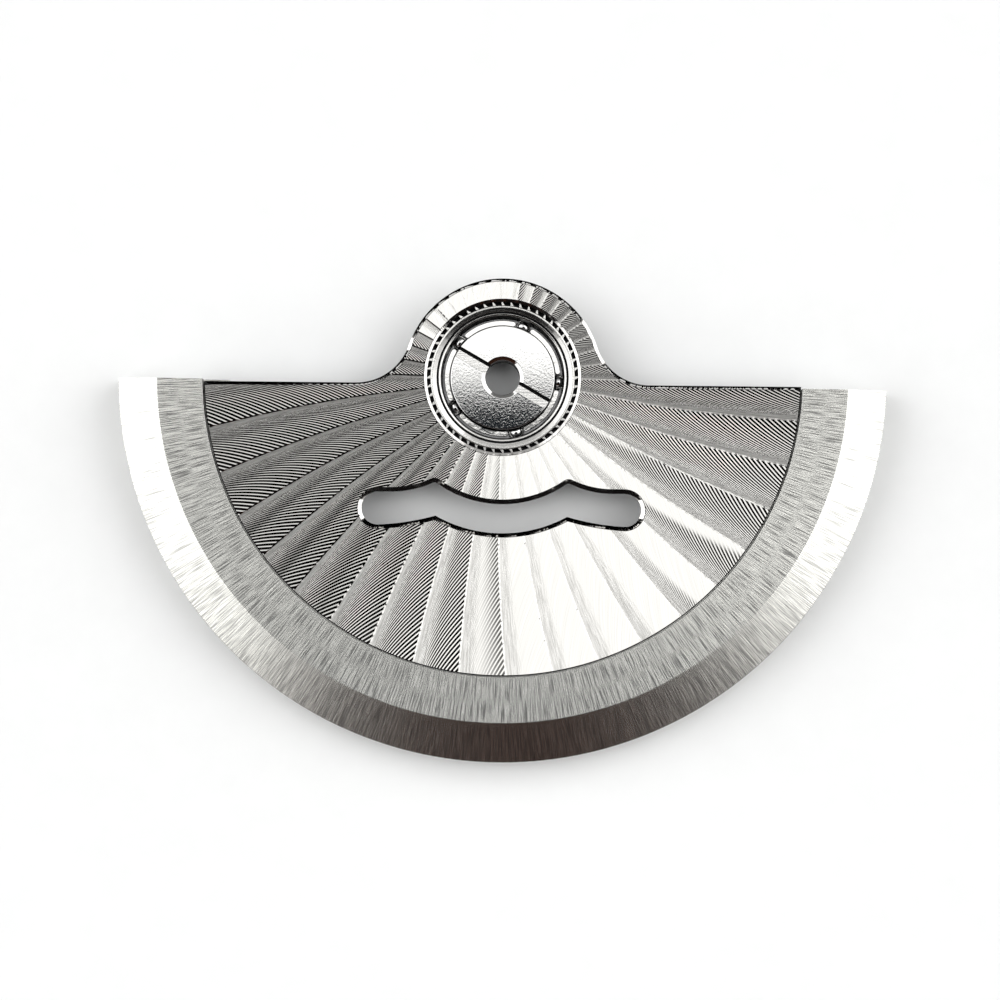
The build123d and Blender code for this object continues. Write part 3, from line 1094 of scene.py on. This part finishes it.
def make_rim():
    """The weighted rim, cut off square to the plate's straight edge."""
    corners = [
        (rim_ledge_radius, rim_ledge_bottom),
        (rim_ledge_radius, plate_bottom),
        (rim_inner_radius, plate_bottom, 0),
        (rim_inner_radius, rim_top, 0.006),
        (rim_bevel_radius, rim_top, 0.012),
        (rim_radius, rim_top - rim_bevel_drop),
        (rim_radius, rim_bottom + rim_edge_chamfer),
        (rim_radius - rim_edge_chamfer, rim_bottom),
        (rim_inner_radius, rim_bottom),
        (rim_inner_radius, rim_ledge_bottom, 0),
    ]
    outline = rounded(corners, rim_edge_round)
    cut = np.degrees(np.arcsin(edge_setback / np.array([r for r, _ in outline])))
    share = np.linspace(0, 1, rim_segments + 1)[:, None]
    start, end = 180 + cut, 360 - cut
    points, size = swept(outline, start + (end - start) * share - rim_skew_degrees)
    cut_end = brushed_flat("rim_cut_end", (0.42, 0.42, 0.405), (0.60, 0.60, 0.58))
    materials = [brushed_rim(), painted_shade_steel("rim_painted_shade"), cut_end]
    faces = tube_faces(*size)
    rim = add_piece("heavy_rim_brushed", points, faces, materials, "rotor", ["heavy_rim"])
    paint(rim, rim_face)


def rim_face(radius, z, normal):
    """The rim's material: 1 for painted shade on its inner wall beside the plate, 2 for its cut ends."""
    # The inner wall beside the plate is painted shade, a dark line along the joint.
    if radius < rim_inner_radius + rim_edge_round and abs(normal.z) < facing_share:
        return 1
    return 2 if normal.y > facing_share else 0


def make_outer_race():
    """Grooved and stepped ring with a serrated collar."""
    ease = 0.012
    lip_rise = race_vertex_radius - race_lip_radius
    gap = serration_tip_radius - serration_root_radius
    corners = [
        (race_lip_radius, race_bottom, ease, 0),
        (race_lip_radius, ball_height - lip_rise, ease, 0),
        (race_vertex_radius, ball_height, ease, 0),
        (race_lip_radius, ball_height + lip_rise, ease, 0),
        (2.1453, 1.1043, ease, 0),
        (2.2103, 1.12, ease, 0),
        (2.2353, 1.02, 0, 0),
        (2.2753, 1.02, 0, 0),
        (2.2853, 1.166, 0.008, 0),
        (2.4203, 1.19, 0.008, 0),
        (2.4753, 1.19, ease, 0),
        (serration_root_radius, 1.16, 0.006, 0),
        (serration_root_radius, serration_top, 0, 0),
        (serration_root_radius, serration_top, 0, 1),
        (serration_root_radius, plate_bottom, 0, 1),
        (serration_root_radius, plate_bottom, 0, 0),
        (shoulder_radius, plate_bottom, ease, 0),
        (shoulder_radius, shoulder_bottom, ease, 0),
        (gear_bore_radius, shoulder_bottom, 0, 0),
        (gear_bore_radius, race_bottom, ease, 0),
    ]
    spread = 1e-4
    outline, weights = weighted_outline(corners, spread)
    points, faces = toothed_lathe(outline, weights, serration_count, 0.17, 0.05, gap, serration_lean)
    materials = [turned_steel("race_turned", (0.64, 0.635, 0.62), 0.14, 0.0004), painted_shade_steel("race_painted_shade")]
    stands_for = ["bearing_outer_race"]
    race = add_piece("outer_race_turned", points, faces, materials, "rotor", stands_for)
    paint(race, race_face)


def race_face(radius, z, normal):
    """The outer race's material: 1 for painted shade in its raceway, its groove and between the serrations.
    """
    in_groove = within(radius, race_groove_radii) and within(z, race_groove_heights)
    beside_teeth = radius > serration_root_radius and z < serration_top * 0.99
    return int(radius < race_shade_radius or in_groove or beside_teeth)


def within(value, limits):
    """True if a value lies between two limits."""
    return limits[0] < value < limits[1]


def combine(piece, helper, operation):
    """Boolean of a piece with a helper object, which is then removed."""
    modifier = piece.modifiers.new("cut", "BOOLEAN")
    modifier.operation = operation
    modifier.solver = "EXACT"
    modifier.object = helper
    bpy.context.view_layer.update()
    graph = bpy.context.evaluated_depsgraph_get()
    made = bpy.data.meshes.new_from_object(piece.evaluated_get(graph))
    piece.modifiers.clear()
    piece.data = made
    mesh = helper.data
    bpy.data.objects.remove(helper)
    bpy.data.meshes.remove(mesh)


def helper_object(name, points, faces):
    """A closed object that cuts a piece or joins it."""
    helper = new_object(name, points, faces)
    face_outwards(helper.data)
    return helper


def slot_cutter():
    """The slot's room, with sides that lean out upwards and less below its floor."""
    reach = cone_radius * 1.2
    drafts = {-1: slot_lower_draft, 1: slot_upper_draft}
    levels = {cone_top - slot_depth: -1, cone_top + slot_depth: 1}
    box = [
        (x, side * (slot_width / 2 + way * drafts[side]), z)
        for x in (-reach, reach)
        for side in (-1, 1)
        for z, way in levels.items()
    ]
    sides = [(0, 1, 3, 2), (4, 6, 7, 5), (0, 4, 5, 1), (2, 3, 7, 6), (0, 2, 6, 4), (1, 5, 7, 3)]
    cutter = helper_object("slot_cutter", box, sides)
    cutter.matrix_world = Matrix.Rotation(math.radians(slot_degrees), 4, "Z")
    return cutter


def make_cone():
    """The slotted upper half of the inner race."""
    corners = [
        (bore_radius, socket_floor),
        (socket_radius, socket_floor),
        (socket_radius, ball_height, 0),
        (inner_vertex_radius, ball_height, 0),
        (cone_radius, ball_height + cone_radius - inner_vertex_radius),
        (cone_radius, cone_top - cone_dome, 0.03),
        (1.5, cone_top - 0.69 * cone_dome, 0),
        (1.2, cone_top - 0.44 * cone_dome, 0),
        (0.9, cone_top - 0.25 * cone_dome, 0),
        (0.72, cone_top - 0.16 * cone_dome, 0.012),
        (bore_radius, cone_top - 0.06),
    ]
    points, faces = lathe(rounded(corners, 0.012))
    materials = [
        blasted("cone_blasted", (0.62, 0.62, 0.615), 0.03),
        painted_shade_steel("cone_painted_shade"),
        milled_slot_painted_highlight("slot_milled_painted_highlight"),
    ]
    stands_for = ["slotted_cone"]
    cone = add_piece("slotted_cone_blasted", points, faces, materials, "inner_race", stands_for)
    combine(cone, slot_cutter(), "DIFFERENCE")
    finish_mesh(cone.data)
    paint(cone, cone_face)


def cone_face(radius, z, normal):
    """The slotted cone's material: 0 for its top, 1 for painted shade on its walls and underside, 2 for the
    slot's floor.
    """
    if normal.z > facing_share and z < cone_top - slot_depth / 2:
        return 2
    nearly = 0.001
    at_wall = radius < bore_radius + nearly or radius > cone_radius - nearly
    return int(at_wall or normal.z < -0.1 or (abs(normal.z) < 0.5 and z < cone_top))


def prism(outline, bottom, top, ease):
    """Points and faces of an upright prism whose top edge is eased."""
    ring = np.array(outline)
    normal = left_of(np.roll(ring, -1, 0) - np.roll(ring, 1, 0))
    levels = [
        (0, bottom),
        (0, top - 1.3 * ease),
        (0, top - ease),
        (0.3 * ease, top - 0.3 * ease),
        (ease, top),
        (1.3 * ease, top),
    ]
    points = [(*p, z) for inset, z in levels for p in (ring + normal * inset).tolist()]
    return points, tube_faces(len(levels), len(ring))


def arc_points(centre, radius, start, end, steps):
    """Points of an arc, its ends included."""
    turns = (start + (end - start) * step / steps for step in range(steps + 1))
    return [(centre[0] + x, centre[1] + y) for x, y in (polar(radius, turn) for turn in turns)]


def post_outline(index):
    """Round-ended bar between one ball and the next, counter-clockwise."""
    half = (cage_outer_radius - cage_inner_radius) / 2
    middle = (cage_inner_radius + cage_outer_radius) / 2
    reach = ball_radius + cage_pocket_gap + half
    turn = 2 * math.degrees(math.asin(reach / 2 / middle))
    start, end = ball_degrees(index) + turn, ball_degrees(index + 1) - turn
    outer = arc_points((0, 0), cage_outer_radius, start, end, 24)
    cap = arc_points(polar(middle, end), half, end, end + 180, 10)[1:-1]
    inner = arc_points((0, 0), cage_inner_radius, end, start, 24)
    foot = arc_points(polar(middle, start), half, start + 180, start + 360, 10)[1:-1]
    return outer + cap + inner + foot


def make_cage():
    """A flat ring with one round-ended post between each pair of balls."""
    ring = square_ring(cage_inner_radius, cage_outer_radius, cage_ring_bottom, cage_ring_top)
    points, faces = lathe(rounded(ring, 0.012))
    bright = polished("cage_bright", (0.68, 0.675, 0.66), 0.06)
    materials = [bright, polished("cage_painted_shade", (0.26, 0.26, 0.265), 0.30)]
    cage = add_piece("ball_cage_bright", points, faces, materials, "cage", ["ball_cage"])
    overlap = 0.02
    for index in range(ball_count):
        bar = prism(post_outline(index), cage_ring_top - overlap, cage_post_top, 0.01)
        combine(cage, helper_object("post", *bar), "UNION")
    combine(cage, make_flange(), "UNION")
    finish_mesh(cage.data)
    # Everything below the posts' tops that does not face down takes the dark material, as painted shade.
    paint(cage, lambda r, z, n: int(z < cage_post_top - 0.02 and n.z > -0.5))


def make_flange():
    """The cage's thin flange, with a round pocket for each ball."""
    corners = square_ring(cage_inner_radius, cage_flange_radius, cage_flange_bottom, cage_flange_top)
    flange = helper_object("flange", *lathe(corners))
    reach = ball_radius + cage_pocket_gap
    for index in range(ball_count):
        circle = arc_points(polar(pitch_radius, ball_degrees(index)), reach, 0, 360, 48)[:-1]
        pocket = prism(circle, cage_flange_bottom - reach, cage_flange_top + reach, 0.01)
        combine(flange, helper_object("pocket", *pocket), "DIFFERENCE")
    return flange


def make_core():
    """The lower half of the inner race, which seats on the bridge."""
    corners = [
        (bore_radius, 0),
        (foot_radius, 0),
        (foot_radius, foot_top),
        (cone_radius, foot_top),
        (cone_radius, ball_height - cone_radius + inner_vertex_radius),
        (inner_vertex_radius, ball_height, 0),
        (socket_radius, ball_height, 0),
        (socket_radius, socket_floor, 0),
        (bore_radius, socket_floor, 0),
    ]
    points, faces = lathe(rounded(corners, 0.015))
    materials = [turned_steel("core_turned", (0.64, 0.63, 0.615), 0.2, 0.002), painted_shade_steel("core_painted_shade")]
    name, stands_for = "bearing_core_turned", ["bearing_core"]
    core = add_piece(name, points, faces, materials, "inner_race", stands_for)
    # The bore and every face above the foot take the dark material, as painted shade.
    paint(core, lambda r, z, n: int(r < cone_radius * 0.9 or z > 0.2))


def make_gear():
    """The rotor gear, with straight-sided teeth."""
    ease = 0.02
    corners = [
        (gear_bore_radius, gear_bottom, ease, 0),
        (gear_root_radius, gear_bottom, ease, 1),
        (gear_root_radius, shoulder_bottom, ease, 1),
        (gear_bore_radius, shoulder_bottom, 0, 0),
    ]
    height = gear_tip_radius - gear_root_radius
    points, faces = toothed_lathe(*weighted_outline(corners), gear_teeth, 0.36, 0.14, height)
    materials = [turned_steel("gear_turned", (0.62, 0.60, 0.57), 0.24, 0.002)]
    add_piece("rotor_gear_cut", points, faces, materials, "rotor", ["rotor_gear"])


def make_rivets():
    """Rivets with a domed head under the rim's ledge."""
    materials = [polished("rivet_polished", (0.64, 0.63, 0.61), 0.18)]
    head_bottom = rim_ledge_bottom - rivet_head_height
    shares = [step / rivet_dome_steps for step in range(1, rivet_dome_steps + 1)]
    outline = [(rivet_head_radius * share, head_bottom + rivet_dome_rise * share**2.5) for share in shares]
    outline.append((rivet_head_radius, rim_ledge_bottom))
    outline += [(rivet_radius, rim_ledge_bottom), (rivet_radius, rivet_top)]
    for number, degrees in enumerate(rivet_angles, start=1):
        points, faces = capped_lathe(outline, rivet_segments)
        x, y = polar(rivet_circle_radius, degrees)
        points = [(px + x, py + y, pz) for px, py, pz in points]
        name, node = f"rim_rivet_{number}_domed", f"rim_rivet_{number}"
        add_piece(name, points, faces, materials, "rotor", [node])


def make_balls():
    """The bearing's balls, each a subdivided cube pressed to a sphere."""
    materials = [polished("ball_chrome", (0.60, 0.60, 0.60), 0.04)]
    for index in range(ball_count):
        work = bmesh.new()
        bmesh.ops.create_cube(work, size=2)
        bmesh.ops.subdivide_edges(work, edges=work.edges, cuts=15, use_grid_fill=True)
        centre = Vector((*polar(pitch_radius, ball_degrees(index)), ball_height))
        points = [tuple(centre + vertex.co.normalized() * ball_radius) for vertex in work.verts]
        faces = [tuple(vertex.index for vertex in face.verts) for face in work.faces]
        work.free()
        name, node, body = f"ball_{index + 1}_chrome", f"ball_{index + 1}", f"ball_body_{index + 1}"
        add_piece(name, points, faces, materials, body, [node], sharp=60)


# Stage


def paper_material():
    """White paper that a view from below sees through."""
    material = bpy.data.materials.new("paper")
    material.use_nodes = True
    tree = material.node_tree
    tree.nodes.clear()
    fibres = put(tree, "TexCoord", output="Object").noise(900.0, 4.0)
    colour = fibres.between((0.845, 0.855, 0.865), (0.885, 0.895, 0.905))
    paper = put(tree, "BsdfDiffuse", {"Color": colour})
    behind = put(tree, "NewGeometry", output="Backfacing")
    seen = put(tree, "LightPath", output="Is Camera Ray")
    mixed = put(tree, "MixShader", {0: behind * seen, 1: paper, 2: put(tree, "BsdfTransparent")})
    mixed.feed(tree.nodes.new("ShaderNodeOutputMaterial"), 0)
    return material


def make_floor():
    """A sheet of white paper, which stands in no view from below."""
    half = floor_size / 2
    corners = [(x * half, y * half, rim_bottom) for x, y in ((-1, -1), (1, -1), (1, 1), (-1, 1))]
    floor = new_object("paper", corners, [(0, 1, 2, 3)], [paper_material()])


# The sky's shapes, where across and along are a direction's x and y over its height


def front_shape(across, along):
    """The dark shape at the front, from just past the zenith down to the horizon."""
    drop = (-0.1 - along).above_zero()
    shoulder = (-0.6 - along).above_zero() * 1.5
    right = drop * 0.9 + 0.31 + shoulder
    left = along.ramp(-0.20, -0.12, 0.48, 0.22) + drop * 0.12 + shoulder
    past_left = (across + left).ramp(-0.05, 0.05)
    past_right = (right - across).ramp(-0.05, 0.05)
    gap = along.fade(-1.5, -1.2) * along.ramp(-2.6, -2.2)
    low = 1.0 - gap * low_front_share
    return past_left * past_right * along.fade(0.060, 0.070) * low


def band_shape(across, along):
    """How much a low grey band takes from the sky behind the zenith."""
    sides = across.ramp(-0.38, -0.14) * across.fade(0.12, 0.26)
    rows = along.ramp(0.24, 0.36) * along.fade(0.445, 0.475)
    return sides * rows * 0.86


def back_shape(across, along):
    """How much of the sky is left toward the back: less from halfway up, little at the horizon."""
    spread = along.ramp(0.6, 2.0, 1.8, 0.5)
    far_right = across.above_zero() * along.ramp(1.0, 2.5, 0.0, 0.6)
    ahead = along - (across.unsigned() + far_right) * spread
    mask = along.ramp(0.60, 0.68) * ahead.ramp(0.0, 0.20)
    level = 0.30 - along.ramp(0.8, 1.3, 0.0, 0.18) - along.ramp(1.5, 2.4, 0.0, 0.12)
    strip = along.ramp(0.42, 0.50) * across.fade(0.5, 0.7) * along.fade(0.60, 0.66)
    return mask * (level - 1.0) + 1.0 - strip * (1.0 - stripe_level) - band_shape(across, along)


def lamp_shape(across, along):
    """A soft lamp near the zenith, at the back and to the right."""
    return distance(across - 0.22, along - 0.25).fade(0.05, 0.12)


def side_shape(across, along):
    """Brighter walls of light far out at the left and at the right."""
    return across.unsigned().ramp(0.55, 0.85) * along.ramp(-0.45, -0.15)


def make_world():
    """Soft white surroundings, darker behind the camera and low at the back."""
    world = bpy.data.worlds.new("studio")
    bpy.context.scene.world = world
    world.use_nodes = True
    tree = world.node_tree
    tree.nodes.clear()
    x, y, z = parts(put(tree, "TexCoord", output="Generated"))
    height = z.math("MAXIMUM", 0.02)
    across, along = x.math("DIVIDE", height), y.math("DIVIDE", height)
    shelf = back_shape(across, along)
    level = shelf * sky_level + lamp_shape(across, along) * lamp_level
    level = level + side_shape(across, along) * shelf * wall_level
    bright = put(tree, "VectorMath", {0: (1.0, 0.995, 0.98), "Scale": level}, operation="SCALE")
    deep = (along.ramp(-0.78, -0.58) + along.fade(-2.6, -2.2)).math("MINIMUM", 1.0)
    low = deep.between(front_colour, deep_colour)
    shade = along.ramp(-0.12, -0.02).between(low, zenith_colour)
    colour = front_shape(across, along).between(bright, shade)
    lit = put(tree, "Background", {"Color": colour, "Strength": 1.0})
    plain = put(tree, "Background", {"Color": (1, 1, 1, 1), "Strength": 1.0})
    seen = put(tree, "LightPath", output="Is Camera Ray")
    mixed = put(tree, "MixShader", {0: seen, 1: lit, 2: plain})
    mixed.feed(tree.nodes.new("ShaderNodeOutputWorld"), 0)


def make_camera():
    """The photograph's viewpoint: nearly overhead, from the rim's side."""
    data = bpy.data.cameras.new("camera")
    data.sensor_width = 36.0
    data.lens = data.sensor_width / 2 / math.tan(math.radians(camera_view_degrees / 2))
    data.clip_start = 0.005
    data.clip_end = 5.0
    camera = bpy.data.objects.new("camera", data)
    bpy.context.scene.collection.objects.link(camera)
    place, aim = Vector(camera_place) * MM, Vector(camera_aim) * MM
    look = aim - place
    right = look.cross(Vector((0, 1, 0))).normalized()
    up = right.cross(look).normalized()
    turned = Matrix((right, up, -look.normalized())).transposed().to_4x4()
    roll = Matrix.Rotation(math.radians(camera_roll_degrees), 4, "Z")
    camera.matrix_world = Matrix.Translation(place) @ turned @ roll
    bpy.context.scene.camera = camera


make_plate()
make_rim()
make_outer_race()
make_cone()
make_cage()
make_core()
make_gear()
make_rivets()
make_balls()
make_floor()
make_world()
make_camera()
bpy.context.scene.view_settings.view_transform = "Standard"

bpy.context.view_layer.update()
